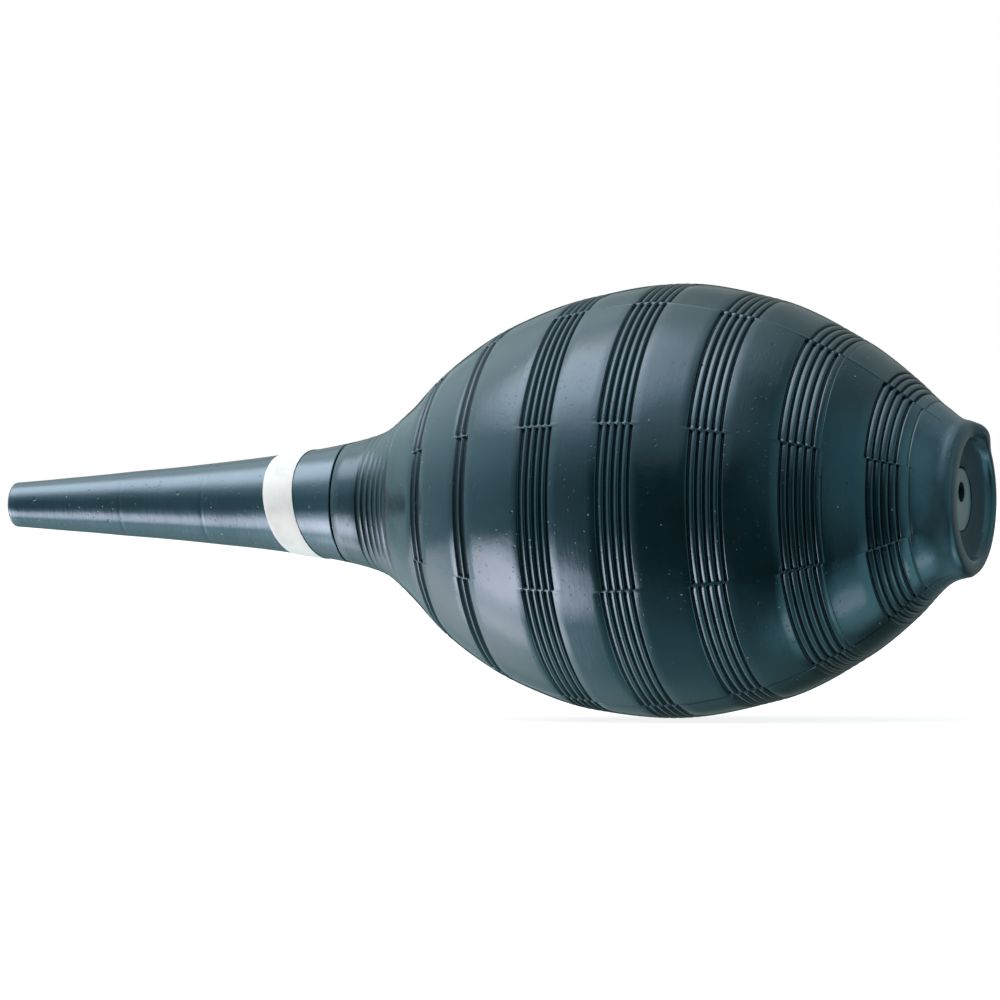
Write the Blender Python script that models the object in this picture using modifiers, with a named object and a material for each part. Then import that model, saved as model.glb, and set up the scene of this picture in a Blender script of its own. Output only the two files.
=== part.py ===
"""Dust blower bulb: a hollow rubber bulb with a tapered spout and an air inlet valve in its back.

The axis runs along X, spout to -X. The belly rests on z = 0, under the middle of the length.
Distances along the axis are counted from the spout's tip, in millimetres.
"""

import math

import bmesh
import bpy
import numpy as np
from mathutils import Matrix

MM = 0.001
STEPS = 32
PLAIN_STEP = 2.1
SHARP_DEGREES = 32

# The whole object.
LENGTH = 142.8
BELLY_RADIUS = 30.0
GAP = 0.3

# Outline of the outside: (distance from the tip, radius), joined by a smooth curve.
OUTLINE = (
    (0.0, 3.1),
    (12.0, 4.05),
    (27.0, 5.25),
    (40.0, 6.6),
    (52.0, 8.5),
    (57.3, 10.05),
    (61.8, 13.3),
    (68.5, 19.4),
    (77.7, 25.05),
    (88.8, 28.7),
    (100.5, BELLY_RADIUS),
    (114.1, 27.75),
    (126.6, 21.95),
    (133.5, 16.85),
    (138.4, 12.45),
    (141.0, 10.95),
    (LENGTH, 10.6),
)

# Spout.
NOZZLE_END = 51.5
TIP_ROUND = 0.7
BORE_TIP_RADIUS = 1.3
BORE_ROOT_RADIUS = 3.4

# Tube that joins spout and bulb inside the neck.
TUBE_START = 41.0
TUBE_END = 62.0
TUBE_OUTER = 4.5
TUBE_BORE = 3.4

# Plain band round the spout, in a shallow seat.
BAND_START = 40.6
BAND_END = 45.8
BAND_THICKNESS = 0.3
BAND_SEAT = 0.45

# Grooves round the bulb.
GROOVE_DEPTH = 0.4
GROOVE_HALF_WIDTH = 0.32
NECK_GROOVES = (56.0, 57.0, 58.0, 59.0, 60.0, 61.0)
PAIRS = ((67.8, 68.7), (76.3, 77.35))
GROUPS = ((89.0, 1.06), (100.9, 1.1), (113.3, 1.06), (124.7, 0.98), (134.5, 0.82))
GROUP_COUNT = 5
SINGLE_GROOVE = (137.5,)

# Rubber wall of the bulb, thicker at the back than in front.
WALL_FRONT = 1.7
WALL_BACK = 4.6
CAVITY_FRONT = 62.4
CAVITY_BACK = 136.6

# Rear end: a rim, a bowl and the flat floor with the valve in it.
RIM_FLAT_INNER = 8.9
RIM_FLAT_OUTER = 10.15
RIM_ROUND = 0.45
BOWL_FLOOR = 140.9
BOWL_FLOOR_RADIUS = 5.6

# Inlet valve, from the back to the front.
FLANGE_RADIUS = 4.2
FLANGE_THICKNESS = 1.2
AIR_HOLE_RADIUS = 1.35
AIR_HOLE_RISE = 1.05
AIR_HOLE_SIDES = 24
STEM_RADIUS = 3.2
HEAD_RADIUS = 5.0
HEAD_BACK = 136.3
SEAT_FACE = 134.9
CUP_FRONT = 132.5
CUP_BORE_RADIUS = 4.2
DISC_RADIUS = 3.7
DISC_THICKNESS = 0.8
DISC_REST_GAP = 0.15
DISC_LIFT = 1.5
CAGE_FRONT = 131.2
CAGE_SKIRT_BACK = 134.0
CAGE_WALL = 0.8
WINDOW_RADIUS = 1.15
WINDOW_CIRCLE = 2.7
WINDOW_COUNT = 4
WINDOW_SIDES = 12


def hermite_outline(points):
    """A function giving the radius of the smooth curve through the points, without overshoot."""
    xs = np.array([p[0] for p in points])
    ys = np.array([p[1] for p in points])
    width = np.diff(xs)
    slope = np.diff(ys) / width
    tangent = np.zeros(len(xs))
    tangent[0] = slope[0]
    tangent[-1] = slope[-1]
    for i in range(1, len(xs) - 1):
        if slope[i - 1] * slope[i] > 0:
            before = 2 * width[i] + width[i - 1]
            after = width[i] + 2 * width[i - 1]
            tangent[i] = (before + after) / (before / slope[i - 1] + after / slope[i])

    def radius(x):
        i = int(np.clip(np.searchsorted(xs, x) - 1, 0, len(width) - 1))
        t = (x - xs[i]) / width[i]
        start = (1 + 2 * t) * (1 - t) ** 2 * ys[i] + t * (1 - t) ** 2 * width[i] * tangent[i]
        end = t * t * (3 - 2 * t) * ys[i + 1] + t * t * (t - 1) * width[i] * tangent[i + 1]
        return float(start + end)

    return radius


outside = hermite_outline(OUTLINE)


def material(name, colour, roughness, metallic=0.0):
    made = bpy.data.materials.new(name)
    made.use_nodes = True
    shader = made.node_tree.nodes["Principled BSDF"]
    shader.inputs["Base Color"].default_value = (*colour, 1.0)
    shader.inputs["Roughness"].default_value = roughness
    shader.inputs["Metallic"].default_value = metallic
    return made


def axis_place(distance):
    """World place of a point on the axis, this far from the tip."""
    return ((distance - LENGTH / 2) * MM, 0.0, BELLY_RADIUS * MM)


def turned(name, profile, finish, collection, place=0.0, steps=STEPS):
    """A turned piece from a profile of (distance, radius), its origin on the axis at place.

    The profile runs along the outer side from front to back. It is closed unless it ends on the axis.
    The facets touch the true circle at their middles, and one of them faces straight down.
    """
    mesh = bpy.data.meshes.new(name)
    half_step = math.pi / steps
    points = [((d - place) * MM, 0.0, r * MM / math.cos(half_step)) for d, r in profile]
    edges = [(i, i + 1) for i in range(len(points) - 1)]
    if profile[-1][1] > 0:
        edges.append((len(points) - 1, 0))
    mesh.from_pydata(points, edges, [])
    piece = bpy.data.objects.new(name, mesh)
    collection.objects.link(piece)
    piece.location = axis_place(place)
    piece.rotation_euler.x = half_step
    screw = piece.modifiers.new("Turn", "SCREW")
    screw.axis = "X"
    screw.steps = steps
    screw.render_steps = steps
    screw.use_merge_vertices = True
    screw.merge_threshold = 0.000005
    screw.use_smooth_shade = True
    screw.use_normal_flip = True
    mesh.materials.append(finish)
    return piece


def arc(middle, radius, start, end, count):
    """Points of an arc, angles in degrees from +distance towards +radius."""
    angles = [math.radians(start + (end - start) * i / (count - 1)) for i in range(count)]
    return [(middle[0] + radius * math.cos(a), middle[1] + radius * math.sin(a)) for a in angles]


def groove_run(places, half_width):
    """Points of neighbouring grooves: bottoms between ridges that reach the surface."""
    points = [on_surface(places[0] - half_width, 0.0)]
    for i, place in enumerate(places):
        points.append(on_surface(place, GROOVE_DEPTH))
        if i + 1 < len(places):
            points.append(on_surface((place + places[i + 1]) / 2, 0.0))
    points.append(on_surface(places[-1] + half_width, 0.0))
    return points


def on_surface(place, depth):
    """A point under the outside at this distance along the axis, this deep square to the surface."""
    rise = outside(place + 0.05) - outside(place - 0.05)
    length = math.hypot(0.1, rise)
    return (place + depth * rise / length, outside(place) - depth * 0.1 / length)


def group_places(middle, pitch):
    return [middle + (i - (GROUP_COUNT - 1) / 2) * pitch for i in range(GROUP_COUNT)]


def bulb_outside():
    """Outer side of the bulb from the neck joint to the rim, with its grooves."""
    runs = [(NECK_GROOVES, 0.45), (SINGLE_GROOVE, GROOVE_HALF_WIDTH)]
    runs.extend((pair, GROOVE_HALF_WIDTH) for pair in PAIRS)
    runs.extend((group_places(middle, pitch), pitch / 2) for middle, pitch in GROUPS)
    points = []
    for places, half_width in sorted(runs, key=lambda run: run[0][0]):
        start = points[-1][0] if points else NOZZLE_END + GAP / 2
        plain = places[0] - half_width - start
        count = max(1, round(plain / PLAIN_STEP))
        first = 1 if points else 0
        points.extend(on_surface(start + plain * i / count, 0.0) for i in range(first, count))
        points.extend(groove_run(places, half_width))
    end = points[-1][0]
    points.extend(on_surface(end + (LENGTH - 1.0 - end) * i / 4, 0.0) for i in range(1, 5))
    return points


def rim_and_bowl():
    """From the rim's outer edge over its flat and down the bowl to the floor."""
    outer = arc((LENGTH - RIM_ROUND, RIM_FLAT_OUTER), RIM_ROUND, 60, 0, 3)
    inner = arc((LENGTH - RIM_ROUND, RIM_FLAT_INNER), RIM_ROUND, 0, -70, 3)
    deep = LENGTH - RIM_ROUND - BOWL_FLOOR
    wide = RIM_FLAT_INNER - RIM_ROUND - BOWL_FLOOR_RADIUS
    bowl = []
    for degrees in (25, 50, 72, 90):
        a = math.radians(degrees)
        bowl.append((BOWL_FLOOR + deep * (1 - math.sin(a)), BOWL_FLOOR_RADIUS + wide * math.cos(a)))
    return outer + inner + bowl


def bulb_profile():
    pocket = BOWL_FLOOR - FLANGE_THICKNESS - GAP / 2
    socket = [
        (BOWL_FLOOR, FLANGE_RADIUS + GAP),
        (pocket, FLANGE_RADIUS + GAP),
        (pocket, STEM_RADIUS + GAP),
        (CAVITY_BACK, STEM_RADIUS + GAP),
        (CAVITY_BACK, 8.0),
        (CAVITY_BACK - 0.6, 10.2),
    ]
    walls = []
    for place in (135.5, 131.0, 125.5, 118.5, 110.5, 101.0, 92.0, 83.0, 76.0, 70.5, 66.0, 62.5):
        part = (place - CAVITY_FRONT) / (CAVITY_BACK - CAVITY_FRONT)
        walls.append(on_surface(place, WALL_FRONT + (WALL_BACK - WALL_FRONT) * part))
    neck = [
        (CAVITY_FRONT + 0.3, 8.0),
        (CAVITY_FRONT, TUBE_OUTER + GAP),
        (NOZZLE_END + GAP / 2, TUBE_OUTER + GAP),
    ]
    return bulb_outside() + rim_and_bowl() + socket + walls + neck


def nozzle_profile():
    tip = arc((TIP_ROUND, outside(0.0) - TIP_ROUND), TIP_ROUND, 180, 100, 3)
    outer = [(place, outside(place)) for place in (4.0, 8.0, 12.0, 19.0, 26.0, 33.0)]
    seat_start = BAND_START - GAP / 2
    seat_end = BAND_END + GAP / 2
    seat = [
        (seat_start, outside(seat_start)),
        (seat_start, outside(seat_start) - BAND_SEAT),
        (seat_end, outside(seat_end) - BAND_SEAT),
        (seat_end, outside(seat_end)),
    ]
    end = NOZZLE_END - GAP / 2
    root = [(49.0, outside(49.0)), (end, outside(end)), (end, TUBE_OUTER + GAP)]
    bore = [
        (TUBE_START - GAP, TUBE_OUTER + GAP),
        (TUBE_START - GAP, BORE_ROOT_RADIUS),
        (0.4, BORE_TIP_RADIUS),
        (0.0, BORE_TIP_RADIUS + 0.4),
    ]
    return tip + outer + seat + root + bore


def band_profile():
    inner_start = outside(BAND_START) - BAND_SEAT + GAP / 2
    inner_end = outside(BAND_END) - BAND_SEAT + GAP / 2
    return [
        (BAND_START, inner_start),
        (BAND_START, inner_start + BAND_THICKNESS),
        (BAND_END, inner_end + BAND_THICKNESS),
        (BAND_END, inner_end),
    ]


def tube_profile():
    return [
        (TUBE_START, TUBE_BORE),
        (TUBE_START, TUBE_OUTER - 0.3),
        (TUBE_START + 0.4, TUBE_OUTER),
        (TUBE_END - 0.4, TUBE_OUTER),
        (TUBE_END, TUBE_OUTER - 0.3),
        (TUBE_END, TUBE_BORE),
    ]


def seat_profile():
    """Flange in the bowl's floor, stem through the wall and cup for the disc."""
    flange_back = BOWL_FLOOR + 0.1
    flange_front = BOWL_FLOOR - FLANGE_THICKNESS
    return [
        (SEAT_FACE, 0.0),
        (SEAT_FACE, CUP_BORE_RADIUS),
        (CUP_FRONT, CUP_BORE_RADIUS),
        (CUP_FRONT, HEAD_RADIUS),
        (HEAD_BACK, HEAD_RADIUS),
        (HEAD_BACK, STEM_RADIUS),
        (flange_front, STEM_RADIUS),
        (flange_front, FLANGE_RADIUS),
        (flange_back - 0.2, FLANGE_RADIUS),
        (flange_back, FLANGE_RADIUS - 0.2),
        (flange_back, 0.0),
    ]


def disc_profile():
    back = SEAT_FACE - DISC_REST_GAP
    return [
        (back - DISC_THICKNESS, 0.0),
        (back - DISC_THICKNESS, DISC_RADIUS - 0.15),
        (back - DISC_THICKNESS + 0.15, DISC_RADIUS),
        (back - 0.15, DISC_RADIUS),
        (back, DISC_RADIUS - 0.15),
        (back, 0.0),
    ]


def cage_profile():
    cap_back = min(CUP_FRONT - GAP, SEAT_FACE - 2 * DISC_REST_GAP - DISC_THICKNESS - DISC_LIFT)
    skirt_inner = HEAD_RADIUS + GAP
    skirt_outer = skirt_inner + CAGE_WALL
    return [
        (CAGE_FRONT, 0.0),
        (CAGE_FRONT, skirt_outer - 0.4),
        (CAGE_FRONT + 0.4, skirt_outer),
        (CAGE_SKIRT_BACK, skirt_outer),
        (CAGE_SKIRT_BACK, skirt_inner),
        (cap_back, skirt_inner),
        (cap_back, 0.0),
    ]


def cut_hole(piece, cutters, place, across, rise, radius, sides, depth):
    """A round hole along X through a piece, its middle at this distance from the tip."""
    mesh = bpy.data.meshes.new("hole_cutter")
    made = bmesh.new()
    bmesh.ops.create_cone(
        made,
        cap_ends=True,
        segments=sides,
        radius1=radius * MM,
        radius2=radius * MM,
        depth=depth * MM,
        matrix=Matrix.Rotation(math.pi / 2, 4, "Y"),
    )
    made.to_mesh(mesh)
    made.free()
    cutter = bpy.data.objects.new("hole_cutter", mesh)
    cutters.objects.link(cutter)
    x, y, z = axis_place(place)
    cutter.location = (x, y + across * MM, z + rise * MM)
    cutter.hide_render = True
    cutter.display_type = "WIRE"
    cut = piece.modifiers.new("Hole", "BOOLEAN")
    cut.operation = "DIFFERENCE"
    cut.solver = "EXACT"
    cut.object = cutter


def cut_windows(cage, cutters):
    """Round openings through the cap for the air, in a ring."""
    for i in range(WINDOW_COUNT):
        angle = 2 * math.pi * (i + 0.5) / WINDOW_COUNT
        across, rise = WINDOW_CIRCLE * math.cos(angle), WINDOW_CIRCLE * math.sin(angle)
        cut_hole(cage, cutters, CAGE_FRONT, across, rise, WINDOW_RADIUS, WINDOW_SIDES, 4.0)


def cut_air_hole(seat, cutters):
    """The air hole, a little above the axis, from the bowl to the disc's cup."""
    middle = (SEAT_FACE + BOWL_FLOOR) / 2
    depth = BOWL_FLOOR - SEAT_FACE + 2.0
    cut_hole(seat, cutters, middle, 0.0, AIR_HOLE_RISE, AIR_HOLE_RADIUS, AIR_HOLE_SIDES, depth)


def settle(piece):
    """Turns the modifiers into plain mesh, smooth except at its edges."""
    graph = bpy.context.evaluated_depsgraph_get()
    mesh = bpy.data.meshes.new_from_object(piece.evaluated_get(graph))
    piece.modifiers.clear()
    piece.data = mesh
    mesh.shade_smooth()
    mesh.set_sharp_from_angle(angle=math.radians(SHARP_DEGREES))


def main():
    for old in list(bpy.data.objects):
        bpy.data.objects.remove(old)
    blower = bpy.data.collections.new("Dust blower bulb")
    cutters = bpy.data.collections.new("Cutters")
    bpy.context.scene.collection.children.link(blower)
    bpy.context.scene.collection.children.link(cutters)
    rubber = material("bulb_rubber", (0.045, 0.085, 0.095), 0.38)
    spout_rubber = material("nozzle_rubber", (0.05, 0.09, 0.1), 0.36)
    white = material("band_white", (0.78, 0.78, 0.77), 0.55)
    grey = material("valve_grey", (0.2, 0.25, 0.26), 0.5)
    disc_rubber = material("disc_rubber", (0.03, 0.035, 0.035), 0.6)
    cage_plastic = material("cage_plastic", (0.6, 0.62, 0.6), 0.4)
    tube_plastic = material("tube_plastic", (0.12, 0.12, 0.12), 0.45)

    turned("bulb", bulb_profile(), rubber, blower)
    turned("nozzle", nozzle_profile(), spout_rubber, blower)
    turned("label_band", band_profile(), white, blower)
    turned("joint_tube", tube_profile(), tube_plastic, blower, steps=24)
    seat = turned("inlet_valve_seat", seat_profile(), grey, blower, SEAT_FACE, 24)
    cut_air_hole(seat, cutters)
    turned("inlet_valve_disc", disc_profile(), disc_rubber, blower, SEAT_FACE, 24)
    cage = turned("inlet_valve_cage", cage_profile(), cage_plastic, blower, CUP_FRONT, 24)
    cut_windows(cage, cutters)
    for piece in blower.objects:
        settle(piece)


main()
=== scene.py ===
"""Dust blower bulb: the finished looks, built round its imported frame.

The axis runs along X with the spout at -X. Distances along the axis are counted from the spout's
tip, in millimetres, and angles round it from the front (-Y) upwards.
"""

import math

import bmesh
import bpy
from bpy.props import FloatProperty, FloatVectorProperty, PointerProperty
from mathutils import Matrix, Vector, noise


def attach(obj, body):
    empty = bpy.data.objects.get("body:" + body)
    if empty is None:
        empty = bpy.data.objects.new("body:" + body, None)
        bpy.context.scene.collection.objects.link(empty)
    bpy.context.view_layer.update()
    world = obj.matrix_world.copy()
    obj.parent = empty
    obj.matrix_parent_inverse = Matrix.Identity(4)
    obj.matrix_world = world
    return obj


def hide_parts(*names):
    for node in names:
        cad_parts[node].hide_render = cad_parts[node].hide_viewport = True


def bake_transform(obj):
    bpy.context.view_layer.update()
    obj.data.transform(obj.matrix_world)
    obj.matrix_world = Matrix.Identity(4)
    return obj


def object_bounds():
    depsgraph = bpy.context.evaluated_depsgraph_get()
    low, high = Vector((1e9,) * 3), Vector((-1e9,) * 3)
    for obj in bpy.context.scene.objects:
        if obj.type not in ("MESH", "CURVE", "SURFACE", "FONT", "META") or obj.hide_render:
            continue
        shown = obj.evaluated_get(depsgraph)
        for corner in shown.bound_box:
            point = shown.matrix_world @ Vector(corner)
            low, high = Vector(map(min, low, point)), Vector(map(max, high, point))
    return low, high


bl_info = {
    "name": "Dust blower bulb",
    "version": (1, 0, 0),
    "blender": (4, 5, 0),
    "location": "3D View > Sidebar > Blower",
    "description": "Builds a ribbed rubber dust blower with its spout, band and inlet valve",
    "category": "Add Mesh",
}

MM = 0.001

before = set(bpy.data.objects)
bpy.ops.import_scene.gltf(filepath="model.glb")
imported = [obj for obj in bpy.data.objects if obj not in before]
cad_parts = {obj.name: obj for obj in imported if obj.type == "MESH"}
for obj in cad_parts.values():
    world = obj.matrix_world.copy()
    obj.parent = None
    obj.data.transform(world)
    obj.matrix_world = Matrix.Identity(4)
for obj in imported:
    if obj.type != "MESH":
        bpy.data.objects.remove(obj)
cad_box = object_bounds()
CAD_LOW, CAD_HIGH = cad_box
TIP_X = CAD_LOW.x
AXIS_HEIGHT = (CAD_LOW.z + CAD_HIGH.z) / 2
LENGTH = (CAD_HIGH.x - CAD_LOW.x) / MM

# Outline of the outside: (distance from the tip, radius), joined by a smooth curve.
OUTLINE = (
    (0.0, 3.1),
    (12.0, 4.05),
    (27.0, 5.34),
    (40.0, 6.67),
    (52.0, 8.5),
    (57.3, 10.05),
    (61.8, 13.3),
    (68.5, 19.4),
    (77.7, 25.05),
    (88.8, 28.7),
    (100.5, 30.0),
    (114.1, 27.75),
    (126.6, 21.95),
    (133.5, 16.85),
    (138.4, 12.45),
    (141.0, 10.95),
    (142.8, 10.6),
)

# Where spout and bulb meet, the half width of the line between them and how deep it is. Under it the
# spout's end reaches on to the bulb, with a little slack.
JOINT = 51.5
JOINT_GAP = 0.11
JOINT_DEPTH = 1.1
JOINT_SLACK = 0.02
EDGE_ROUND = 0.1

# The rubber has settled a little out of true: (distance from the tip, how far its middle has risen).
SETTLING = (
    (52.0, 0.0),
    (60.0, -0.1),
    (66.0, -0.3),
    (85.0, -0.32),
    (97.0, -0.05),
    (105.0, 0.14),
    (120.0, 0.13),
    (132.0, 0.2),
    (138.5, 0.45),
    (141.5, 0.1),
    (142.8, 0.1),
)

# Single grooves: (places along the axis, half width, share of the full depth, share of painted shade),
# and the shape across each: (offset in half widths, depth share, painted shade). The painted shade
# blackens the colour in the grooves.
SINGLE_GROOVES = (
    ((56.0, 57.0, 58.0, 59.0, 60.0), 0.3, 0.6, 0.8),
    ((61.15,), 0.42, 0.6, 0.8),
    ((67.75, 68.75), 0.37, 1.0, 1.0),
    ((76.2, 77.35), 0.4, 1.0, 1.0),
    ((127.6,), 0.12, 0.1, 0.1),
    ((137.5,), 0.12, 0.3, 0.5),
)
GROOVE_SHAPE = (
    (-1.3, 0.0, 0.0),
    (-1.0, 0.12, 0.0),
    (-0.7, 0.6, 0.7),
    (-0.3, 1.0, 1.0),
    (0.3, 1.0, 1.0),
    (0.7, 0.6, 0.7),
    (1.0, 0.12, 0.0),
    (1.3, 0.0, 0.0),
)

# Groups of five grooves with rounded ribs between: (middle, pitch), and the shapes of a group's edge
# and of a rib: (offset in pitches, depth share, painted shade that blackens the colour).
GROUPS = ((89.0, 1.06), (100.9, 1.1), (113.3, 1.06), (124.7, 0.98), (134.5, 0.82))
GROUP_COUNT = 5
GROUP_EDGE = (
    (0.36, 0.0, 0.0),
    (0.24, 0.12, 0.0),
    (0.15, 0.6, 0.5),
    (0.07, 1.0, 1.0),
)
RIB_SHAPE = (
    (0.0, 1.0, 1.0),
    (0.06, 0.85, 1.0),
    (0.1, 0.6, 0.3),
    (0.2, 0.42, 0.0),
    (0.32, 0.24, 0.0),
    (0.44, 0.1, 0.0),
    (0.56, 0.02, 0.0),
    (0.64, 0.0, 0.0),
    (0.72, 0.05, 0.0),
    (0.8, 0.2, 0.0),
    (0.88, 0.5, 0.3),
    (0.94, 0.85, 1.0),
)
PLAIN_STEP = 1.15
LIP_START = 0.75
COLLAR_ROWS = 6

# The mould: eight sectors, a mark across the grooves at each border, a parting line at two of them.
# The shape of a mark is (offset in degrees, share of the groove's depth kept there).
MARK_DEGREES = (-70.0, -24.0, 20.5, 64.5, 110.0, 155.0, 200.0, 245.0)
MARK_SHAPE = (
    (-1.6, 1.0),
    (-1.1, 1.2),
    (-0.45, 1.3),
    (-0.2, 0.12),
    (0.2, 0.12),
    (0.45, 1.3),
    (1.1, 1.2),
    (1.6, 1.0),
)
PLAIN_COLUMNS = 16
MARKS_START = (62.0, 66.0)
MARKS_END = (138.5, 140.5)
SECTOR_SHIFT = 0.17
LEANING_MARK = 20.5
MARK_LEAN = 0.075
LEAN_MIDDLE = 102.0
LEAN_REACH = 40.0
CRACK_MARK = 0
CRACK_DEPTH = 0.2
RIDGE_MARK = 3
RIDGE_HEIGHT = 0.07
CREASE_MIDDLE = -2.75
CREASE_START = 67.25
CREASE_SLOPE = 0.02
CREASE_REACH = 7.0
CREASE_RISE = (85.0, 110.0)

# Wear of the neck's grooves away from the front, and slow lumps over all of the rubber.
NECK_END = 62.0
NECK_WEAR = 0.7
NECK_WEAR_MIDDLE = -8.0
NECK_WEAR_DEGREES = (18.0, 48.0)
LUMP_HEIGHT = 0.05
LUMP_SIZE = 9.0

# Rear end: a rounded lip, leaning in at the front and bulging a little on its far side, round a bowl.
LIP_ROUND = 0.8
LIP_OUTER = 9.8
LIP_INNER = 9.3
LIP_NARROWING = 0.3
LIP_LEAN = 0.95
LIP_BULGE = 0.8
LIP_BULGE_DEGREES = 114.0
LIP_BULGE_REACH = 30.0
LIP_BULGE_START = (1.2, 0.3)
REAR_END_DEPTH = 5.0
BOWL_FLOOR = 141.1
BOWL_FLOOR_RADIUS = 5.2
BOWL_EDGE = 0.12
SOCKET_RADIUS = 4.5
SOCKET_DEPTH = 1.55
THROAT_RADIUS = 3.4
# Painted shade in the bowl: how much its colour is darkened below the lip.
BOWL_SHADE = 0.6

# Rubber wall.
WALL_FRONT = 1.7
WALL_BACK = 4.6
CAVITY_FRONT = 62.4
CAVITY_BACK = 136.6
CAVITY_END_RADIUS = 8.0
CAVITY_SHOULDER = (0.6, 10.2)
WALL_ENDS = (135.5, 62.5)
WALL_ROWS = 26
NECK_BORE_RADIUS = 4.8

# Spout.
TIP_ROUND = 0.5
BORE_TIP_RADIUS = 1.3
BORE_ROOT_RADIUS = 3.4
TUBE_START = 40.7
SPOUT_ROW_START = 1.6
SPOUT_ROW_STEP = 1.3
SPOUT_ROWS = 38
SPOUT_PLAIN_END = 0.8
SPOUT_LUMP_SIZE = 7.0
SPOUT_STEPS = 144
# Faint rings: (distance from the tip, depth), and the shape across: (offset, share of the depth).
RINGS = ((17.98, 0.01), (30.99, 0.014))
RING_SHAPE = ((-0.25, 0), (-0.08, 1), (0.08, 1), (0.25, 0))

# Band.
BAND_START = 41.0
BAND_END = 45.6
BAND_LIFT = 0.02
BAND_THICKNESS = 0.12
BAND_EDGE = 0.05
BAND_ROWS = 8
BAND_SKEW = 1.0
BAND_SWEEP = 1.4

# Inlet valve seat.
FLANGE_RADIUS = 4.38
FLANGE_SUNK = 0.12
FLANGE_THICKNESS = 1.2
FLANGE_ROUND = 0.3
AIR_HOLE_RADIUS = 1.35
AIR_HOLE_RISE = 1.05
AIR_HOLE_ROUND = 0.12
STEM_RADIUS = 3.2
HEAD_RADIUS = 5.0
HEAD_BACK = 136.3
SEAT_FACE = 134.9
CUP_FRONT = 132.5
CUP_BORE_RADIUS = 4.2
VALVE_STEPS = 96

# Painted sheen: a paler colour over the rear end, standing in for its highlights: where it starts and
# is full, and how much of it reaches the bowl.
PAINTED_SHEEN_REACH = (134.0, 139.0)
PAINTED_SHEEN_INSIDE = 0.35
PAINTED_SHEEN_COLOUR = (0.032, 0.058, 0.073, 1.0)

# The rubber's surface. Pores, pits and dust are (spacing, radius, share of the cells that hold one).
SHINE = (0.55, 0.82, 1.0)
BULB_GLOSS = 0.625
SPOUT_GLOSS = 0.98
RUBBER_ROUGHNESS = (0.11, 0.2)
RUBBER_BUMP = 0.05
MOTTLE_SIZE = 9.0
RUBBED_SIZE = 2.4
PATCH_SIZE = 7.0
STREAK_SIZE = 0.4
STREAK_STRETCH = (1.0, 0.12, 0.12)
GRAIN_SIZE = 0.5
WAVE_SIZE = 3.0
PORES = (0.75, 0.2, 0.32)
# Pits are dents whose colour is also painted darker, as painted shade.
PITS = (2.8, 0.3, 0.3)
DUST = (2.0, 0.15, 0.25)
DUST_COLOUR = (0.22, 0.30, 0.33, 1.0)

# Finishes of the CAD pieces inside: (node, colour, roughness).
INSIDE_FINISHES = (
    ("inlet_valve_disc", (0.02, 0.022, 0.022), 0.55),
    ("inlet_valve_cage", (0.55, 0.57, 0.55), 0.4),
    ("joint_tube", (0.09, 0.09, 0.09), 0.45),
)

# Stage.
CAMERA_YAW_DEGREES = 20.7
CAMERA_ROLL_DEGREES = -0.31
CAMERA_DISTANCE = 1.1135
CAMERA_LENS = 288.0
CAMERA_AIM = (0.00236, 0.0, 0.03029)

# Tints of the studio's light.
PALE = (0.90, 0.97, 1.0)
COOL = (0.65, 0.92, 1.0)
TEAL = (0.50, 0.95, 1.0)
ROSE = (1.0, 0.72, 0.74)

# Soft lights of the studio: azimuth from the front towards +X, elevation, angle at which the light
# has faded out (all in degrees), strength and tint.
ROOM_LIGHTS = (
    (-90, 0, 85, 1.05, COOL),
    (-75, 60, 60, 1.4, PALE),
    (-45, 75, 35, 0.8, PALE),
    (-90, -75, 60, 0.6, TEAL),
    (0, 45, 35, 0.8, PALE),
    (80, 10, 55, 0.75, TEAL),
    (90, 60, 85, 0.25, TEAL),
    (165, 45, 85, 0.33, PALE),
)
LAMP_LIGHTS = (
    (-60, 60, 35, 2.7, ROSE),
    (-74, 50, 23, 2.1, PALE),
)
LEFT_WINDOW_LIGHTS = (
    (-75, -30, 45, 1.5, PALE),
    (-67, -30, 17, 5.2, ROSE),
    (-60, -32, 24, 3.2, ROSE),
    (-50, -40, 18, 3.5, ROSE),
    (-90, -42, 16, 2.5, ROSE),
    (-105, -30, 35, 0.8, ROSE),
)
RIGHT_WINDOW_LIGHTS = (
    (105, -45, 35, 1.7, TEAL),
    (100, -57, 13, 1.8, ROSE),
)
SOFT_LIGHTS = ROOM_LIGHTS + LAMP_LIGHTS + LEFT_WINDOW_LIGHTS + RIGHT_WINDOW_LIGHTS
ROOM_COLOUR = (0.05, 0.08, 0.07)
FLOOR_SHADE = 0.25
FLOOR_GLOW = 0.85
FLOOR_HEIGHT = -0.0002

# A soft dark card behind, which draws the thin dark outline: azimuth and elevation, and the angles from
# its middle where it starts and is full. Lights below the table's edge fade out between two heights.
DARK_CARD = (-159.3, 0.0)
DARK_CARD_EDGES = (17.0, 9.0)
TABLE_EDGE = (-0.20, -0.30)


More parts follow.
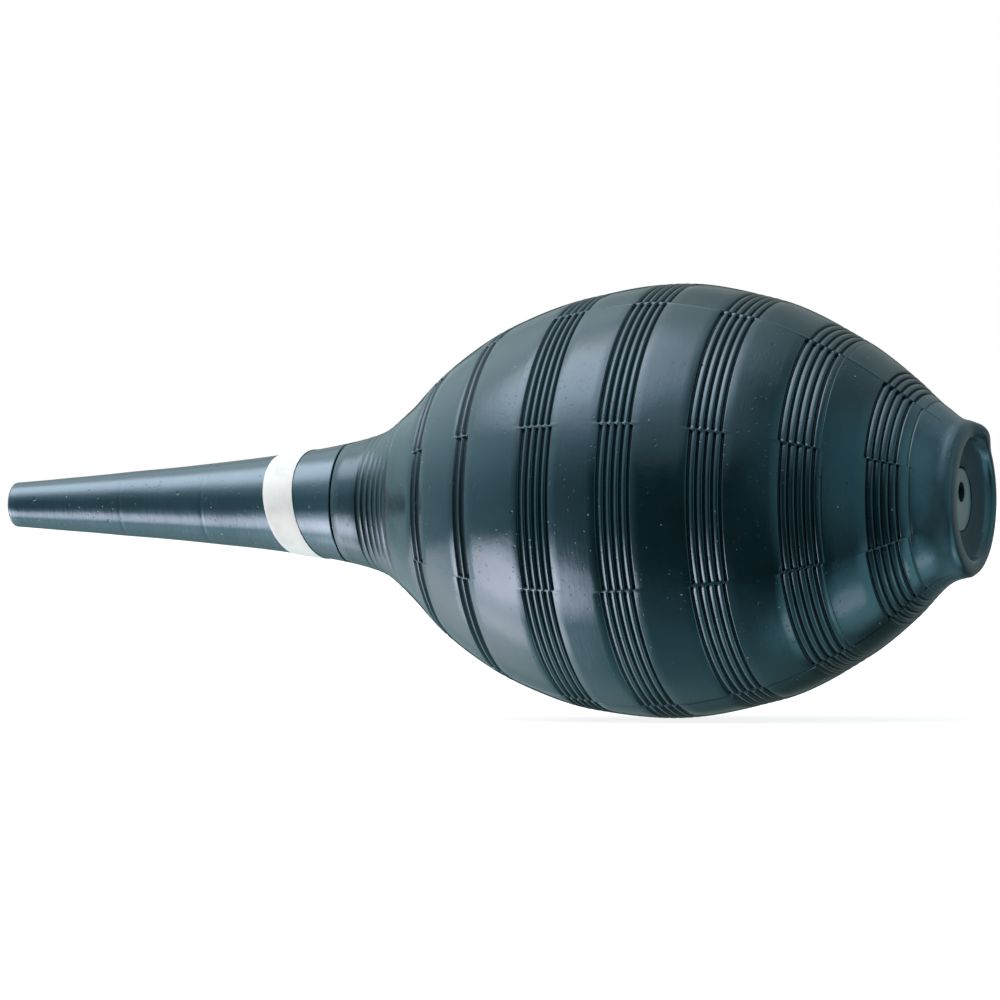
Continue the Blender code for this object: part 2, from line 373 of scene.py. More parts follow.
def hermite_outline(points):
    """A function giving the height of the smooth curve through the points, without overshoot."""
    xs = [p[0] for p in points]
    ys = [p[1] for p in points]
    last = len(points) - 1
    width = [xs[i + 1] - xs[i] for i in range(last)]
    slope = [(ys[i + 1] - ys[i]) / width[i] for i in range(last)]
    tangent = [slope[0]] + [0.0] * (last - 1) + [slope[-1]]
    for i in range(1, last):
        if slope[i - 1] * slope[i] > 0:
            before = 2 * width[i] + width[i - 1]
            after = width[i] + 2 * width[i - 1]
            tangent[i] = (before + after) / (before / slope[i - 1] + after / slope[i])

    def height(x):
        i = 0
        while i < last - 1 and x > xs[i + 1]:
            i += 1
        t = (x - xs[i]) / width[i]
        start = (1 + 2 * t) * (1 - t) ** 2 * ys[i] + t * (1 - t) ** 2 * width[i] * tangent[i]
        end = t * t * (3 - 2 * t) * ys[i + 1] + t * t * (t - 1) * width[i] * tangent[i + 1]
        return start + end

    return height


outside = hermite_outline(OUTLINE)
risen = hermite_outline(SETTLING)


def under_surface(place, depth):
    """A point of the outside at this distance from the tip, sunk square to the surface."""
    rise = (outside(place + 0.05) - outside(place - 0.05)) / 0.1
    length = math.hypot(1.0, rise)
    return place + depth * rise / length, outside(place) - depth / length


def smooth(low, high, value):
    """A smooth ramp from 0 to 1 as value goes from low to high."""
    t = min(max((value - low) / (high - low), 0.0), 1.0)
    return t * t * (3 - 2 * t)


def arc(middle, radius, start, end, count):
    """Points of an arc, angles in degrees from +distance towards +radius."""
    angles = [math.radians(start + (end - start) * i / (count - 1)) for i in range(count)]
    return [(middle[0] + radius * math.cos(a), middle[1] + radius * math.sin(a)) for a in angles]


def spot(distance, radius, angle):
    """World place at this distance from the tip, radius and angle round the axis."""
    return Vector(
        (
            TIP_X + distance * MM,
            -radius * MM * math.cos(angle),
            AXIS_HEIGHT + radius * MM * math.sin(angle),
        )
    )


def turned_mesh(profile, steps):
    """A closed profile of (distance, radius) turned round the axis, each vertex knowing its row."""
    mesh = bmesh.new()
    row = mesh.verts.layers.int.new("row")
    line = []
    for i, (distance, radius) in enumerate(profile):
        vert = mesh.verts.new(spot(distance, radius, 0.0))
        vert[row] = i
        line.append(vert)
    edges = [mesh.edges.new((a, b)) for a, b in zip(line, line[1:])]
    edges.append(mesh.edges.new((line[-1], line[0])))
    bmesh.ops.spin(
        mesh,
        geom=line + edges,
        cent=spot(0.0, 0.0, 0.0),
        axis=(-1.0, 0.0, 0.0),
        angle=2 * math.pi,
        steps=steps,
        use_merge=True,
    )
    bmesh.ops.recalc_face_normals(mesh, faces=mesh.faces)
    return mesh, row


def place_of(vert):
    """Distance, radius and angle of a vertex."""
    height = vert.co.z - AXIS_HEIGHT
    distance = (vert.co.x - TIP_X) / MM
    return distance, math.hypot(vert.co.y, height) / MM, math.atan2(height, -vert.co.y)


def keep_piece(mesh, name, body, finish, node=None, sharp_degrees=40.0):
    """Turns a mesh into a piece with its finish, riding on a body, in place of a CAD node."""
    data = bpy.data.meshes.new(name)
    mesh.to_mesh(data)
    mesh.free()
    data.shade_smooth()
    data.set_sharp_from_angle(angle=math.radians(sharp_degrees))
    data.materials.append(finish)
    piece = bpy.data.objects.new(name, data)
    bpy.context.scene.collection.objects.link(piece)
    if body:
        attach(piece, body)
    if node:
        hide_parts(node)
    return piece


class Wire:
    """A shader socket that can be written in sums."""

    def __init__(self, graph, socket):
        self.graph = graph
        self.socket = socket

    def __add__(self, other):
        return self.graph.math("ADD", self, other)

    def __mul__(self, other):
        return self.graph.math("MULTIPLY", self, other)

    def __sub__(self, other):
        return self.graph.math("SUBTRACT", self, other)

    def __rsub__(self, other):
        return self.graph.math("SUBTRACT", other, self)

    __radd__ = __add__
    __rmul__ = __mul__


class Graph:
    """The nodes of one finish, or of the studio's light."""

    def __init__(self, owner):
        owner.use_nodes = True
        self.owner = owner
        self.tree = owner.node_tree
        self.tree.nodes.clear()

    def node(self, kind, settings=None, values=None, output=0):
        """Adds a node: its settings first, then its sockets' values or links. Gives an output."""
        made = self.tree.nodes.new(kind)
        for key, value in (settings or {}).items():
            setattr(made, key, value)
        for key, value in (values or {}).items():
            self.feed(made.inputs[key], value)
        return Wire(self, made.outputs[output]) if len(made.outputs) else made

    def feed(self, socket, value):
        if isinstance(value, Wire):
            self.tree.links.new(value.socket, socket)
        else:
            socket.default_value = value

    def math(self, operation, a, b):
        return self.node("ShaderNodeMath", {"operation": operation}, {0: a, 1: b})

    def mix(self, factor, a, b):
        return self.node(
            "ShaderNodeMix", {"data_type": "RGBA"}, {"Factor": factor, 6: a, 7: b}, output=2
        )

    def step(self, value, low, high, to_low=0.0, to_high=1.0):
        """A smooth ramp from to_low to to_high as value goes from low to high."""
        return self.node(
            "ShaderNodeMapRange",
            {"interpolation_type": "SMOOTHSTEP"},
            {0: value, 1: low, 2: high, 3: to_low, 4: to_high},
        )

    def millimetres(self, stretch=(1.0, 1.0, 1.0)):
        """Object coordinates in millimetres, stretched along the axes."""
        where = self.node("ShaderNodeTexCoord", output=3)
        scale = tuple(s / MM for s in stretch)
        return self.node("ShaderNodeMapping", None, {"Vector": where, "Scale": scale})

    def noise(self, where, size, detail=2.0, roughness=0.5, output=0):
        return self.node(
            "ShaderNodeTexNoise",
            None,
            {"Vector": where, "Scale": 1 / size, "Detail": detail, "Roughness": roughness},
            output=output,
        )

    def spots(self, where, spacing, radius, share, blur=0.35):
        """1 inside round spots of this radius, in about this share of cells this far apart."""
        values = {"Vector": where, "Scale": 1 / spacing}
        cells = self.node("ShaderNodeTexVoronoi", None, values).socket.node
        near = Wire(self, cells.outputs["Distance"])
        chance = self.node("ShaderNodeSeparateColor", None, {0: Wire(self, cells.outputs["Color"])})
        inside = self.step(near, radius / spacing, radius * (1 - blur) / spacing)
        chosen = self.node("ShaderNodeMath", {"operation": "LESS_THAN"}, {0: chance, 1: share})
        return inside * chosen

    def finish(self, colour, roughness, height=None, depth=0.05, **fixed):
        """Closes the graph with a Principled shader; depth is the bump's depth in millimetres."""
        values = {"Base Color": colour, "Roughness": roughness}
        for key, value in fixed.items():
            values[key.replace("_", " ")] = value
        if height is not None:
            bump = {"Height": height, "Distance": depth * MM, "Strength": 1.0}
            values["Normal"] = self.node("ShaderNodeBump", None, bump)
        shader = self.node("ShaderNodeBsdfPrincipled", None, values)
        self.node("ShaderNodeOutputMaterial", None, {"Surface": shader})
        return self.owner


def new_finish(name):
    """The empty graph of a new material."""
    return Graph(bpy.data.materials.new(name))


def shade(colour, factor):
    """A colour made lighter or darker, with full alpha."""
    return tuple(c * factor for c in colour[:3]) + (1.0,)


def rubber_finish(name, colour, gloss, with_painted_light):
    """Dark moulded rubber: mottled, pitted in patches, dusty; painted shade in its pits and cuts,
    painted sheen at its rear.
    """
    graph = new_finish(name)
    where = graph.millimetres()
    mottle = graph.noise(where, MOTTLE_SIZE, 4.0, 0.6)
    rubbed = graph.noise(where, RUBBED_SIZE, 4.0, 0.7)
    patches = graph.step(graph.noise(where, PATCH_SIZE, 2.0), 0.42, 0.56)
    streaks = graph.noise(graph.millimetres(STREAK_STRETCH), STREAK_SIZE, 2.0, 0.6)
    pores = graph.spots(where, *PORES) * patches
    pits = graph.spots(where, *PITS)
    dust = graph.spots(where, *DUST)
    base = graph.mix(graph.step(mottle, 0.3, 0.7), shade(colour, 0.75), shade(colour, 1.25))
    # Painted shade: the pits' colour is made darker.
    base = graph.mix(pits * 0.8, base, shade(colour, 0.12))
    roughness = graph.step(rubbed, 0.25, 0.75, *RUBBER_ROUGHNESS)
    if with_painted_light:
        # Painted shade: the cut attribute blackens the colour in the grooves, the crack, the bowl and
        # the air hole.
        cut = graph.node("ShaderNodeAttribute", {"attribute_name": "cut"}, output=2)
        painted_shade = graph.step(cut, 0.1, 0.8)
        base = graph.mix(painted_shade, base, shade(colour, 0.05))
        dust = dust * (1 - graph.step(cut, 0.0, 0.3))
        # Painted sheen: a paler colour over the rear end, in mottled patches, kept out of the painted
        # shade.
        painted_sheen = graph.node("ShaderNodeAttribute", {"attribute_name": "painted_sheen"}, output=2)
        painted_sheen = painted_sheen * graph.step(mottle, 0.25, 0.6, 0.4, 0.9) * (1 - painted_shade)
        base = graph.mix(painted_sheen, base, PAINTED_SHEEN_COLOUR)
        roughness = roughness + painted_shade * 0.5
    base = graph.mix(dust * 0.5, base, DUST_COLOUR)
    roughness = roughness + dust * 0.3
    grain = graph.noise(where, GRAIN_SIZE, 2.0)
    waves = graph.noise(where, WAVE_SIZE, 2.0)
    height = streaks * 0.2 + grain * 0.1 + waves * 0.6
    height = height - pores * 0.45 - pits * 0.7 + dust * 0.35
    tint = {"Specular_Tint": (*SHINE, 1.0), "Specular_IOR_Level": gloss, "IOR": 1.5}
    return graph.finish(base, roughness, height, RUBBER_BUMP, **tint)


def band_finish(name, colour):
    """Plain matt printed film, greyed a little in soft stains."""
    graph = new_finish(name)
    where = graph.millimetres()
    fibre = graph.noise(where, 0.3, 3.0, 0.7)
    stain = graph.noise(where, 3.5, 3.0, 0.6)
    base = graph.mix(graph.step(stain, 0.45, 0.75), colour, shade(colour, 0.86))
    roughness = graph.step(stain, 0.3, 0.7, 0.42, 0.55)
    return graph.finish(base, roughness, fibre, 0.01)


def plastic_finish(name, colour, roughness):
    """Moulded plastic with a fine grain."""
    graph = new_finish(name)
    where = graph.millimetres()
    grain = graph.noise(where, 0.25, 3.0, 0.6)
    cloud = graph.noise(where, 2.0, 3.0, 0.5)
    base = graph.mix(graph.step(cloud, 0.3, 0.7), shade(colour, 0.85), shade(colour, 1.1))
    rough = graph.step(cloud, 0.3, 0.7, roughness - 0.06, roughness + 0.08)
    return graph.finish(base, rough, grain, 0.012)


def groove_runs():
    """Runs of rows with grooves, front to back: (distance, depth share, painted shade)."""
    runs = []
    for places, half_width, deep, black in SINGLE_GROOVES:
        run = []
        for place in places:
            for offset, share, dark in GROOVE_SHAPE:
                run.append((place + offset * half_width, share * deep, dark * black))
        runs.append(run)
    for middle, pitch in GROUPS:
        first = middle - pitch * (GROUP_COUNT - 1) / 2
        last = middle + pitch * (GROUP_COUNT - 1) / 2
        run = [(first - offset * pitch, share, dark) for offset, share, dark in GROUP_EDGE]
        for i in range(GROUP_COUNT - 1):
            start = first + i * pitch
            run.extend((start + offset * pitch, share, dark) for offset, share, dark in RIB_SHAPE)
        run.append((last, 1.0, 1.0))
        back = [(last + offset * pitch, share, dark) for offset, share, dark in GROUP_EDGE]
        runs.append(run + back[::-1])
    return sorted(runs)


def outside_rows():
    """Rows of the bulb's outside: (distance, depth share, painted shade), from the joint to the lip."""
    rows = [(JOINT + JOINT_GAP + EDGE_ROUND, 0.0, 0.0)]
    for run in groove_runs():
        start = rows[-1][0]
        plain = run[0][0] - start
        count = max(1, round(plain / PLAIN_STEP))
        rows.extend((start + plain * i / count, 0.0, 0.0) for i in range(1, count))
        rows.extend(run)
    start = rows[-1][0]
    collar = LENGTH - LIP_START - start
    rows.extend((start + collar * i / COLLAR_ROWS, 0.0, 0.0) for i in range(1, COLLAR_ROWS + 1))
    return rows


def column_angles():
    """Angles of the bulb's columns: close together at each mould mark, even between."""
    angles = []
    for i, mark in enumerate(MARK_DEGREES):
        following = MARK_DEGREES[i + 1] if i + 1 < len(MARK_DEGREES) else MARK_DEGREES[0] + 360
        angles.extend(mark + offset for offset, _ in MARK_SHAPE)
        start = mark + MARK_SHAPE[-1][0]
        gap = (following + MARK_SHAPE[0][0] - start) / (PLAIN_COLUMNS + 1)
        angles.extend(start + gap * (i + 1) for i in range(PLAIN_COLUMNS))
    return angles


def around(degrees, middle):
    """How far an angle is from another, from -180 to 180."""
    return (degrees - middle + 180) % 360 - 180


def bulb_mesh(groove_depth):
    """The bulb: grooved outside, curled rear lip, bowl, valve socket and cavity."""
    rows = outside_rows()
    profile = [(place, outside(place)) for place, _, _ in rows]
    count = len(rows)
    profile.extend(arc((LENGTH - LIP_ROUND, LIP_OUTER), LIP_ROUND, 72, 0, 6))
    profile.extend(arc((LENGTH - LIP_ROUND, LIP_INNER), LIP_ROUND, 0, -75, 7))
    lip_end = profile[-1]
    deep = lip_end[0] - BOWL_EDGE - BOWL_FLOOR
    wide = lip_end[1] - BOWL_EDGE - BOWL_FLOOR_RADIUS
    for degrees in range(0, 91, 9):
        a = math.radians(degrees)
        point = BOWL_FLOOR + deep * (1 - math.sin(a)), BOWL_FLOOR_RADIUS + wide * math.cos(a)
        profile.append(point)
    pocket = BOWL_FLOOR - SOCKET_DEPTH
    profile.extend(
        [
            (BOWL_FLOOR, SOCKET_RADIUS + 0.1),
            (BOWL_FLOOR - 0.08, SOCKET_RADIUS),
            (pocket, SOCKET_RADIUS),
            (pocket, THROAT_RADIUS),
            (CAVITY_BACK, THROAT_RADIUS),
            (CAVITY_BACK, CAVITY_END_RADIUS),
            (CAVITY_BACK - CAVITY_SHOULDER[0], CAVITY_SHOULDER[1]),
        ]
    )
    for i in range(WALL_ROWS + 1):
        place = WALL_ENDS[0] + (WALL_ENDS[1] - WALL_ENDS[0]) * i / WALL_ROWS
        part = (place - CAVITY_FRONT) / (CAVITY_BACK - CAVITY_FRONT)
        profile.append(under_surface(place, WALL_FRONT + (WALL_BACK - WALL_FRONT) * part))
    start = JOINT + JOINT_GAP
    profile.extend(
        [
            (CAVITY_FRONT + 0.3, CAVITY_END_RADIUS),
            (CAVITY_FRONT, NECK_BORE_RADIUS),
            (start, NECK_BORE_RADIUS),
            (start, outside(start) - EDGE_ROUND),
        ]
    )
    angles = column_angles()
    mesh, row = turned_mesh(profile, len(angles))
    # The cut attribute is painted shade: how black the colour is made in the grooves, the crack and the
    # bowl.
    sunk = mesh.verts.layers.float.new("cut")
    painted_sheen_layer = mesh.verts.layers.float.new("painted_sheen")
    step = 2 * math.pi / len(angles)
    for vert in mesh.verts:
        distance, radius, angle = place_of(vert)
        column = round(angle / step) % len(angles)
        degrees = angles[column]
        # Painted sheen over the rear end, weaker inside it.
        painted_sheen = smooth(*PAINTED_SHEEN_REACH, distance) * (radius > SOCKET_RADIUS)
        vert[painted_sheen_layer] = painted_sheen if vert[row] < count else painted_sheen * PAINTED_SHEEN_INSIDE
        if vert[row] >= count:
            vert.co, vert[sunk] = rear_place(distance, radius, degrees, lip_end)
            continue
        vert.co, vert[sunk] = outside_place(rows[vert[row]], degrees, column, groove_depth)
    return mesh


def rear_place(distance, radius, degrees, lip_end):
    """Place and painted shade of a point of the lip, bowl or inside: the lip leans in at the front."""
    turn = math.radians(degrees)
    edge = LIP_OUTER + LIP_ROUND
    lip = smooth(edge, LIP_INNER, radius) if radius < edge else 0.0
    lip *= smooth(BOWL_FLOOR + 0.1, BOWL_FLOOR + 1.2, distance)
    bulge = max(0.0, 1 - abs(around(degrees, LIP_BULGE_DEGREES)) / LIP_BULGE_REACH)
    rise = smooth(LENGTH - LIP_BULGE_START[0], LENGTH - LIP_BULGE_START[1], distance)
    radius -= lip * (LIP_NARROWING + LIP_LEAN * math.cos(turn))
    distance += rise * LIP_BULGE * smooth(0, 1, bulge)
    at_rear = distance > LENGTH - REAR_END_DEPTH
    in_bowl = at_rear and radius < lip_end[1]
    # Painted shade: the bowl's colour is darkened below the lip.
    black = BOWL_SHADE * smooth(-lip_end[0], 0.5 - lip_end[0], -distance) * in_bowl
    point = spot(distance, radius, turn)
    point.z += risen(LENGTH) * MM * at_rear
    return point, black


def outside_place(shape, degrees, column, groove_depth):
    """Place and painted shade of a point of the outside, with grooves, marks, parting lines and lumps.
    """
    distance, share, black = shape
    sector, within = divmod(column, len(MARK_SHAPE) + PLAIN_COLUMNS)
    half = len(MARK_SHAPE) // 2
    fade = smooth(*MARKS_START, distance) * (1 - smooth(*MARKS_END, distance))
    side = 1.0 if sector % 2 else -1.0
    raised = 0.0
    if within < len(MARK_SHAPE):
        side *= -1.0 if within < half else 1.0
        share *= 1 + (MARK_SHAPE[within][1] - 1) * fade
        black *= 1 + (min(MARK_SHAPE[within][1], 1.0) - 1) * fade
        at_middle = within in (half - 1, half)
        # At one parting line a sunk crack, with its colour painted black as painted shade.
        if at_middle and sector == CRACK_MARK:
            raised = -CRACK_DEPTH
            black = 1.0
        if at_middle and sector == RIDGE_MARK:
            raised = RIDGE_HEIGHT
    if distance < NECK_END:
        worn = smooth(*NECK_WEAR_DEGREES, abs(around(degrees, NECK_WEAR_MIDDLE)))
        kept = 1 - NECK_WEAR * worn
        share *= kept
        black *= kept
    beyond = max(0.0, abs(around(degrees, CREASE_MIDDLE)) - CREASE_START)
    crease = CREASE_SLOPE * beyond * math.exp(-beyond / CREASE_REACH)
    crease *= smooth(*CREASE_RISE, distance)
    distance += side * SECTOR_SHIFT * fade
    near = max(0.0, 1 - abs(around(degrees, LEANING_MARK)) / LEAN_REACH)
    turn = math.radians(degrees + near * MARK_LEAN * (LEAN_MIDDLE - distance) * fade)
    lump = noise.noise(spot(distance, outside(distance), turn) / (LUMP_SIZE * MM)) * LUMP_HEIGHT
    depth = share * groove_depth - (raised - crease + lump) * fade
    place, radius = under_surface(distance, depth)
    point = spot(place, radius, turn)
    point.z += risen(distance) * MM
    return point, black


def spout_mesh():
    """The tapered spout with its rounded tip, faint ring marks and bore."""
    tip = arc((TIP_ROUND, outside(0.0) - TIP_ROUND + 0.05), TIP_ROUND, 180, 96, 9)
    places = [SPOUT_ROW_START + i * SPOUT_ROW_STEP for i in range(SPOUT_ROWS)]
    outer = [(place, outside(place)) for place in places if place < JOINT - SPOUT_PLAIN_END]
    for ring, depth in RINGS:
        outer.extend(under_surface(ring + offset, depth * share) for offset, share in RING_SHAPE)
    outer.sort()
    end = JOINT - JOINT_GAP
    tongue = JOINT + JOINT_GAP - JOINT_SLACK
    profile = tip + outer
    profile.extend(
        [
            (end - EDGE_ROUND, outside(end - EDGE_ROUND)),
            (end, outside(end) - EDGE_ROUND),
            (end, outside(end) - JOINT_DEPTH),
            (tongue, outside(end) - JOINT_DEPTH),
            (tongue, NECK_BORE_RADIUS),
            (TUBE_START, NECK_BORE_RADIUS),
            (TUBE_START, BORE_ROOT_RADIUS),
            (0.6, BORE_TIP_RADIUS),
            (0.25, BORE_TIP_RADIUS + 0.1),
            (0.0, BORE_TIP_RADIUS + 0.4),
        ]
    )
    mesh, row = turned_mesh(profile, SPOUT_STEPS)
    first, last = len(tip), len(tip) + len(outer)
    for vert in mesh.verts:
        if first <= vert[row] < last:
            distance, radius, angle = place_of(vert)
            lump = noise.noise(vert.co / (SPOUT_LUMP_SIZE * MM)) * LUMP_HEIGHT * smooth(0, 5, distance)
            vert.co = spot(distance, radius + lump, angle)
    return mesh


def band_mesh():
    """The plain band: thin film wrapped round the spout, a little askew."""
    wide = BAND_END - BAND_START
    places = [BAND_START + wide * i / BAND_ROWS for i in range(BAND_ROWS + 1)]
    outer = [(place, outside(place) + BAND_LIFT + BAND_THICKNESS) for place in places]
    for end in (0, -1):
        outer[end] = (outer[end][0], outer[end][1] - BAND_EDGE)
    inner = [(place, outside(place) + BAND_LIFT) for place in reversed(places)]
    mesh, _ = turned_mesh(outer + inner, SPOUT_STEPS)
    for vert in mesh.verts:
        distance, radius, angle = place_of(vert)
        lift = radius - outside(distance)
        distance += BAND_SWEEP * (1 - math.cos(angle)) - BAND_SKEW * math.sin(angle)
        vert.co = spot(distance, outside(distance) + lift, angle)
    return mesh


def seat_mesh():
    """The inlet valve's seat: rounded flange in the bowl, stem, cup and an air hole above the axis."""
    back = BOWL_FLOOR - FLANGE_SUNK
    front = BOWL_FLOOR - FLANGE_THICKNESS
    profile = [
        (CUP_FRONT, CUP_BORE_RADIUS),
        (CUP_FRONT, HEAD_RADIUS),
        (HEAD_BACK, HEAD_RADIUS),
        (HEAD_BACK, STEM_RADIUS),
        (front, STEM_RADIUS),
        (front, FLANGE_RADIUS),
    ]
    flange = back - FLANGE_ROUND, FLANGE_RADIUS - FLANGE_ROUND
    profile.extend(arc(flange, FLANGE_ROUND, 90, 0, 7))
    hole_start = len(profile)
    mouth = back - AIR_HOLE_ROUND, AIR_HOLE_RADIUS + AIR_HOLE_ROUND
    profile.extend(arc(mouth, AIR_HOLE_ROUND, 0, -90, 5))
    profile.append((SEAT_FACE, AIR_HOLE_RADIUS))
    hole_end = len(profile)
    profile.append((SEAT_FACE, CUP_BORE_RADIUS))
    mesh, row = turned_mesh(profile, VALVE_STEPS)
    # The cut attribute is painted shade: the air hole's colour is darkened.
    sunk = mesh.verts.layers.float.new("cut")
    for vert in mesh.verts:
        if hole_start <= vert[row] < hole_end:
            vert.co.z += AIR_HOLE_RISE * MM
            vert[sunk] = smooth(hole_start, hole_start + 3, vert[row])
    return mesh


class BLOWER_PG_sizes(bpy.types.PropertyGroup):
    """Sizes a user would change."""

    groove_depth: FloatProperty(
        name="Groove depth",
        description="How deep the grip grooves are cut",
        default=0.45 * MM,
        min=0.0,
        max=MM,
        unit="LENGTH",
        precision=5,
    )
    floor_radius: FloatProperty(
        name="Floor radius",
        description="How far the studio floor reaches",
        default=30.0,
        unit="LENGTH",
    )


class BLOWER_PG_colours(bpy.types.PropertyGroup):
    """Colours a user would change."""

    rubber: FloatVectorProperty(
        name="Bulb rubber",
        description="Colour of the bulb",
        default=(0.0028, 0.0100, 0.0128),
        subtype="COLOR",
        size=3,
    )
    spout: FloatVectorProperty(
        name="Spout rubber",
        description="Colour of the spout",
        default=(0.0030, 0.0105, 0.0135),
        subtype="COLOR",
        size=3,
    )
    band: FloatVectorProperty(
        name="Band",
        description="Colour of the plain band",
        default=(0.60, 0.59, 0.57),
        subtype="COLOR",
        size=3,
    )
    seat: FloatVectorProperty(
        name="Valve seat",
        description="Colour of the inlet valve's seat",
        default=(0.105, 0.105, 0.110),
        subtype="COLOR",
        size=3,
    )


class BLOWER_OT_bulb(bpy.types.Operator):
    """Build the ribbed bulb"""

    bl_idname = "blower.bulb"
    bl_label = "Bulb"

    def execute(self, context):
        sizes, colours = context.scene.blower_sizes, context.scene.blower_colours
        finish = rubber_finish("bulb_rubber", tuple(colours.rubber), BULB_GLOSS, True)
        mesh = bulb_mesh(sizes.groove_depth / MM)
        bulb = keep_piece(mesh, "bulb_skin", None, finish, None, 65.0)
        spot(92.0, 0, 0)
        spot(138.0, 0, 0)
        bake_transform(bulb)
        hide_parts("bulb")
        return {"FINISHED"}


class BLOWER_OT_spout(bpy.types.Operator):
    """Build the tapered spout"""

    bl_idname = "blower.spout"
    bl_label = "Spout"

    def execute(self, context):
        colours = context.scene.blower_colours
        finish = rubber_finish("spout_rubber", tuple(colours.spout), SPOUT_GLOSS, False)
        spout = keep_piece(spout_mesh(), "spout_skin", "front", finish, "nozzle")
        return {"FINISHED"}


class BLOWER_OT_band(bpy.types.Operator):
    """Build the plain band"""

    bl_idname = "blower.band"
    bl_label = "Band"

    def execute(self, context):
        colours = context.scene.blower_colours
        finish = band_finish("band_film", tuple(colours.band) + (1.0,))
        band = keep_piece(band_mesh(), "plain_band", "front", finish, "label_band")
        return {"FINISHED"}


class BLOWER_OT_valve(bpy.types.Operator):
    """Build the valve seat and finish the pieces inside"""

    bl_idname = "blower.valve"
    bl_label = "Inlet valve"

    def execute(self, context):
        colours = context.scene.blower_colours
        finish = rubber_finish("seat_rubber", tuple(colours.seat), BULB_GLOSS, True)
        seat = keep_piece(seat_mesh(), "valve_seat", "rear_end", finish, "inlet_valve_seat")
        for node, colour, roughness in INSIDE_FINISHES:
            material = plastic_finish(node + "_finish", colour, roughness)
            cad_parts[node].data.materials.clear()
            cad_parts[node].data.materials.append(material)
        return {"FINISHED"}


def direction(azimuth, elevation):
    """Unit vector: azimuth in degrees from the front (-Y) towards +X, elevation upwards."""
    turn, rise = math.radians(azimuth), math.radians(elevation)
    across = math.cos(rise)
    return math.sin(turn) * across, -math.cos(turn) * across, math.sin(rise)


def stage_plane(name, low, high, height):
    """A level plane of the stage, which isn't part of the object."""
    mesh = bmesh.new()
    bmesh.ops.create_grid(mesh, x_segments=1, y_segments=1, size=0.5)
    wide, long = high[0] - low[0], high[1] - low[1]
    middle = ((low[0] + high[0]) / 2, (low[1] + high[1]) / 2, height)
    bmesh.ops.scale(mesh, vec=(wide, long, 1.0), verts=mesh.verts)
    bmesh.ops.translate(mesh, vec=middle, verts=mesh.verts)
    data = bpy.data.meshes.new(name)
    mesh.to_mesh(data)
    mesh.free()
    plane = bpy.data.objects.new(name, data)
    bpy.context.scene.collection.objects.link(plane)
    return plane


def set_floor(reach):
    """A pale floor that shows only its contact shadow."""
    floor = stage_plane("floor", (-reach, -reach), (reach, reach), FLOOR_HEIGHT)
    graph = new_finish("floor_white")
    grey = (FLOOR_SHADE, FLOOR_SHADE, FLOOR_SHADE, 1)
    diffuse = graph.node("ShaderNodeBsdfDiffuse", None, {"Color": grey})
    values = {"Color": (1, 1, 1, 1), "Strength": FLOOR_GLOW}
    glow = graph.node("ShaderNodeEmission", None, values)
    both = graph.node("ShaderNodeAddShader", None, {0: diffuse, 1: glow})
    graph.node("ShaderNodeOutputMaterial", None, {"Surface": both})
    floor.data.materials.append(graph.owner)
    floor.visible_glossy = False
    floor.visible_diffuse = False
    floor.visible_shadow = False


def facing(graph, ray, azimuth, elevation):
    """Cosine of the angle between a ray and a direction."""
    values = {0: ray, 1: direction(azimuth, elevation)}
    return graph.node("ShaderNodeVectorMath", {"operation": "DOT_PRODUCT"}, values, output=1)


def set_light(scene):
    """The studio: soft lights round the object, a dark card behind it, and a white background."""
    scene.world = bpy.data.worlds.new("studio")
    graph = Graph(scene.world)
    ray = graph.node("ShaderNodeTexCoord")
    light = graph.node("ShaderNodeBackground", None, {"Color": (*ROOM_COLOUR, 1)})
    for azimuth, elevation, fade, strength, tint in SOFT_LIGHTS:
        towards = facing(graph, ray, azimuth, elevation)
        glow = graph.step(towards, math.cos(math.radians(fade)), 1.0) * strength
        if elevation < 0:
            height = graph.node("ShaderNodeSeparateXYZ", None, {0: ray}, output=2)
            glow = glow * graph.step(height, *TABLE_EDGE)
        values = {"Color": (*tint, 1), "Strength": glow}
        soft = graph.node("ShaderNodeBackground", None, values)
        light = graph.node("ShaderNodeAddShader", None, {0: light, 1: soft})
    edges = [math.cos(math.radians(edge)) for edge in DARK_CARD_EDGES]
    hidden = graph.step(facing(graph, ray, *DARK_CARD), *edges)
    black = graph.node("ShaderNodeBackground", None, {"Color": (0, 0, 0, 1)})
    light = graph.node("ShaderNodeMixShader", None, {0: hidden, 1: light, 2: black})
    seen = graph.node("ShaderNodeBackground", None, {"Color": (1, 1, 1, 1)})
    first = graph.node("ShaderNodeLightPath")
    sky = graph.node("ShaderNodeMixShader", None, {0: first, 1: light, 2: seen})
    graph.node("ShaderNodeOutputWorld", None, {"Surface": sky})


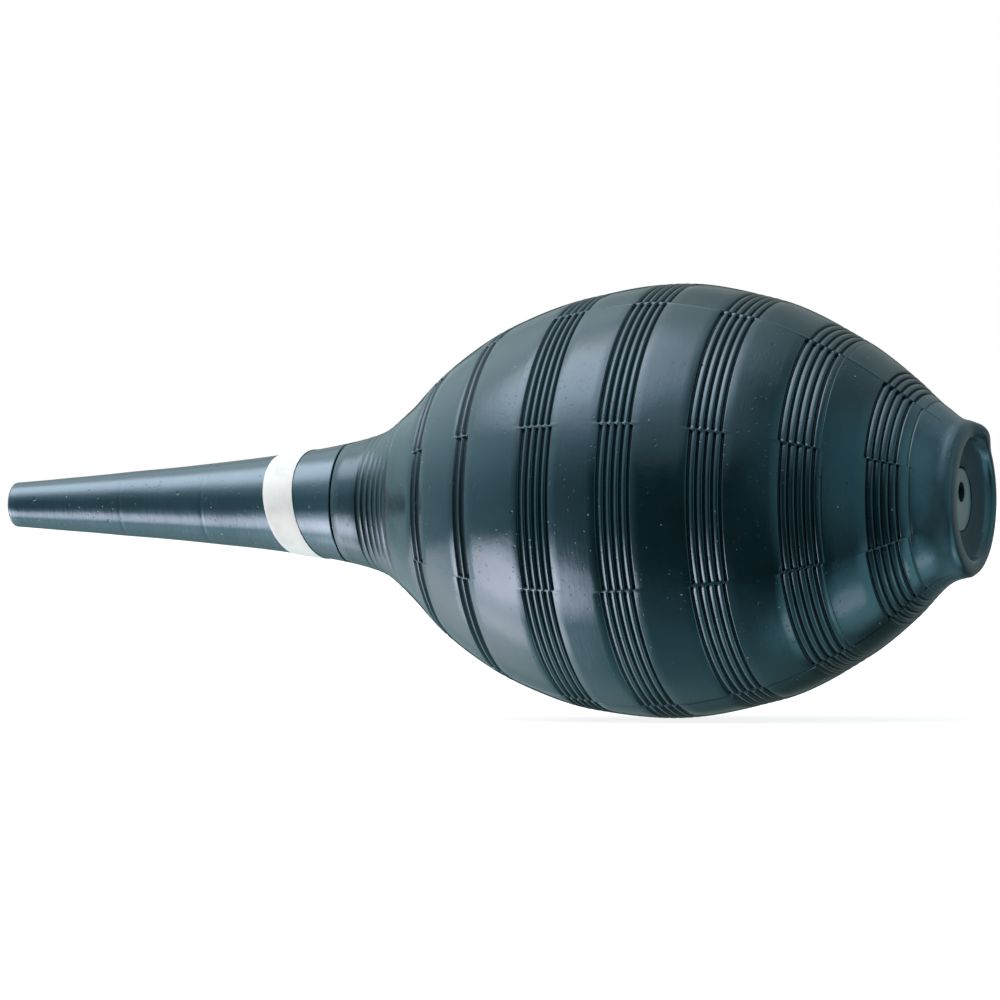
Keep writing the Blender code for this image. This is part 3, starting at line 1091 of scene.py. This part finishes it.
def set_camera(scene):
    """A long lens at the height of the object's middle, turned a little towards its rear end."""
    camera = bpy.data.cameras.new("camera")
    camera.lens = CAMERA_LENS
    camera.clip_start = 0.01
    camera.clip_end = 100.0
    view = bpy.data.objects.new("camera", camera)
    scene.collection.objects.link(view)
    yaw = math.radians(CAMERA_YAW_DEGREES)
    back = Vector((math.sin(yaw), -math.cos(yaw), 0.0))
    view.location = Vector(CAMERA_AIM) + back * CAMERA_DISTANCE
    turn = (-back).to_track_quat("-Z", "Y")
    roll = Matrix.Rotation(math.radians(CAMERA_ROLL_DEGREES), 4, "Z")
    view.rotation_euler = (turn.to_matrix().to_4x4() @ roll).to_euler()
    scene.camera = view


class BLOWER_OT_stage(bpy.types.Operator):
    """Set the studio: pale floor, soft light and camera"""

    bl_idname = "blower.stage"
    bl_label = "Stage"

    def execute(self, context):
        scene = context.scene
        set_floor(scene.blower_sizes.floor_radius)
        set_light(scene)
        set_camera(scene)
        scene.view_settings.view_transform = "Standard"
        scene.view_settings.look = "None"
        return {"FINISHED"}


class BLOWER_PT_panel(bpy.types.Panel):
    """Lists the blower's pieces"""

    bl_idname = "BLOWER_PT_panel"
    bl_label = "Dust blower bulb"
    bl_space_type = "VIEW_3D"
    bl_region_type = "UI"
    bl_category = "Blower"

    def draw(self, context):
        for group in (context.scene.blower_sizes, context.scene.blower_colours):
            for key in group.bl_rna.properties.keys():
                if key not in ("rna_type", "name"):
                    self.layout.prop(group, key)
        for operator in OPERATORS:
            self.layout.operator(operator.bl_idname)


OPERATORS = (
    BLOWER_OT_bulb,
    BLOWER_OT_spout,
    BLOWER_OT_band,
    BLOWER_OT_valve,
    BLOWER_OT_stage,
)
CLASSES = (BLOWER_PG_sizes, BLOWER_PG_colours) + OPERATORS + (BLOWER_PT_panel,)


def register():
    for made in CLASSES:
        bpy.utils.register_class(made)
    bpy.types.Scene.blower_sizes = PointerProperty(type=BLOWER_PG_sizes)
    bpy.types.Scene.blower_colours = PointerProperty(type=BLOWER_PG_colours)


def unregister():
    del bpy.types.Scene.blower_sizes
    del bpy.types.Scene.blower_colours
    for made in reversed(CLASSES):
        bpy.utils.unregister_class(made)


def main():
    register()
    bpy.ops.blower.bulb()
    bpy.ops.blower.spout()
    bpy.ops.blower.band()
    bpy.ops.blower.valve()
    bpy.ops.blower.stage()


if __name__ == "__main__":
    main()
